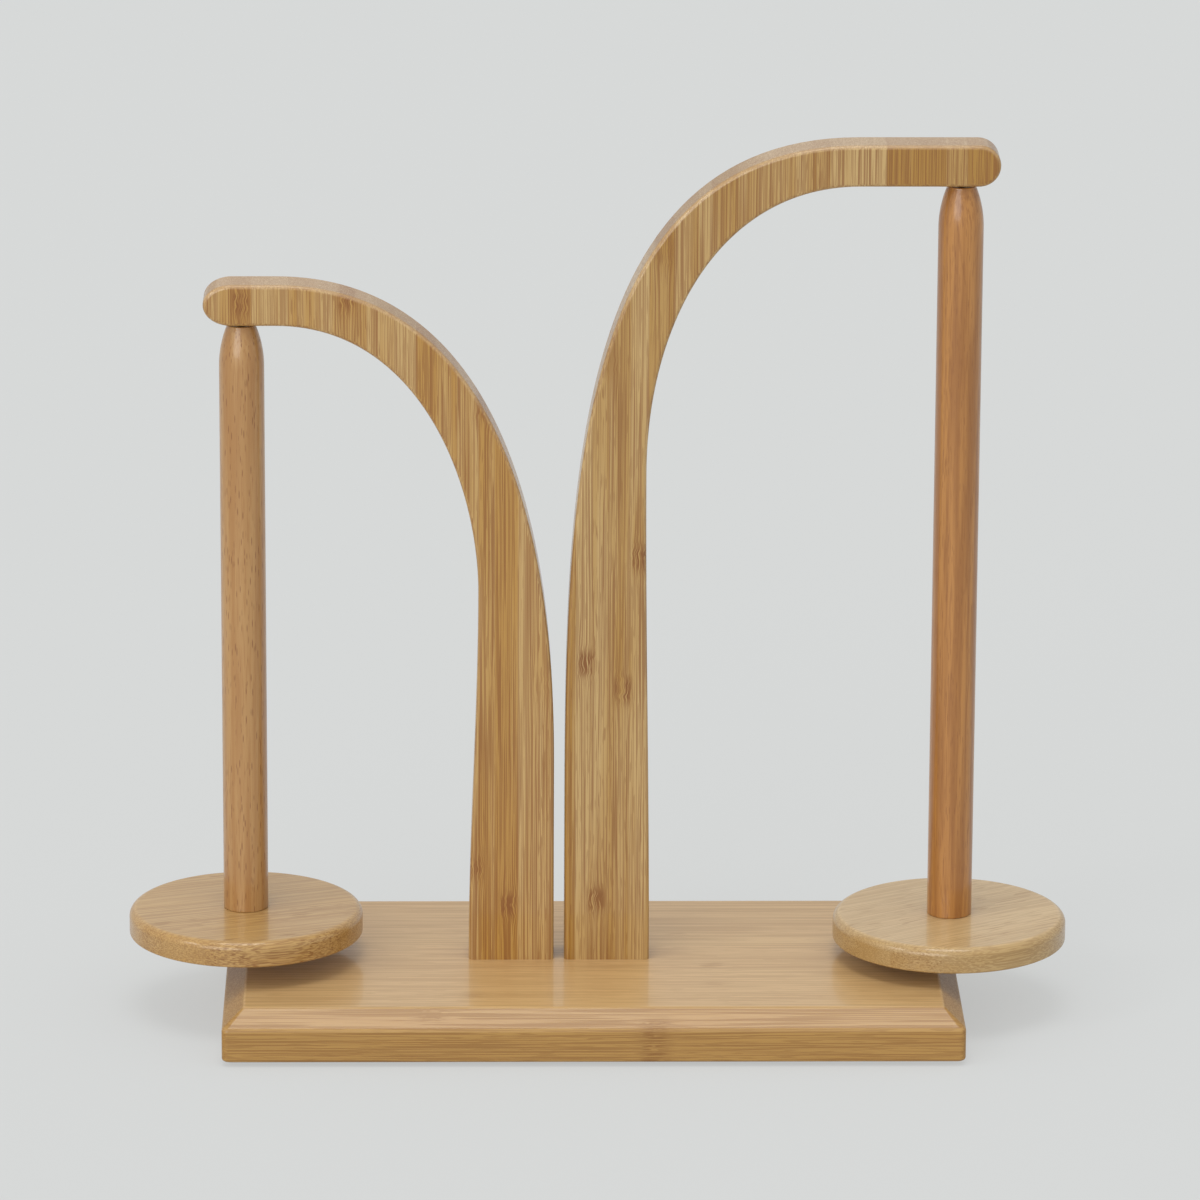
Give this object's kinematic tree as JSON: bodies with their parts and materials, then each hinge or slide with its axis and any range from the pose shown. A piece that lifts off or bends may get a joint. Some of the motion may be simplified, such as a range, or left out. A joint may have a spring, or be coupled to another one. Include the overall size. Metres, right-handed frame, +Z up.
{
  "type": "yarn holder",
  "caption": "Bamboo yarn holder: a bevelled base with a short and a tall curved arm, each with a magnet-hung beech spindle and round tray that spins, swings and pulls off.",
  "frame": {"origin": "on the table, midway between the two spindle axes, in the plane of the arms", "axes": "+Z up, +X from the short spindle to the tall one, the user sits on the -Y side"},
  "size_m": [0.442, 0.175, 0.4195],
  "materials": {
    "bamboo": "satin lacquered laminated bamboo",
    "beech": "satin beech dowel",
    "brass": "turned",
    "zinc_steel": "zinc plated",
    "ball_steel": "polished bearing ball",
    "magnet_nickel": "nickel plated",
    "foot_rubber": "matt non-slip pad"
  },
  "bodies": {
    "stand": {"base_board": "bamboo", "short_arm": "bamboo", "tall_arm": "bamboo", "foot_front_left": "foot_rubber", "foot_front_right": "foot_rubber", "foot_rear_left": "foot_rubber", "foot_rear_right": "foot_rubber", "short_arm_inserts": "brass", "short_arm_bolts": "zinc_steel", "short_arm_washers": "zinc_steel", "short_magnet": "magnet_nickel", "tall_arm_inserts": "brass", "tall_arm_bolts": "zinc_steel", "tall_arm_washers": "zinc_steel", "tall_magnet": "magnet_nickel"},
    "short_pivot": {"short_pivot_ball": "ball_steel"},
    "short_cup": {"short_ball_socket": "brass"},
    "short_spindle": {"short_dowel": "beech", "short_tray": "bamboo", "short_tray_screw": "zinc_steel"},
    "tall_pivot": {"tall_pivot_ball": "ball_steel"},
    "tall_cup": {"tall_ball_socket": "brass"},
    "tall_spindle": {"tall_dowel": "beech", "tall_tray": "bamboo", "tall_tray_screw": "zinc_steel"}
  },
  "joints": [
    {"name": "short_pull_off", "type": "slide", "parent": "stand", "child": "short_pivot", "axis": [0, -1, 0], "range_m": [0, 0.15]},
    {"name": "short_swing", "type": "hinge", "parent": "short_pivot", "child": "short_cup", "pos_m": [-0.166, 0, 0.33045], "axis": [1, 0, 0], "range_deg": [-8, 8]},
    {"name": "short_spin", "type": "hinge", "parent": "short_cup", "child": "short_spindle", "pos_m": [-0.166, 0, 0.33045], "axis": [0, 0, 1], "continuous": true},
    {"name": "tall_pull_off", "type": "slide", "parent": "stand", "child": "tall_pivot", "axis": [0, -1, 0], "range_m": [0, 0.15]},
    {"name": "tall_swing", "type": "hinge", "parent": "tall_pivot", "child": "tall_cup", "pos_m": [0.166, 0, 0.39645], "axis": [1, 0, 0], "range_deg": [-8, 8]},
    {"name": "tall_spin", "type": "hinge", "parent": "tall_cup", "child": "tall_spindle", "pos_m": [0.166, 0, 0.39645], "axis": [0, 0, 1], "continuous": true}
  ]
}
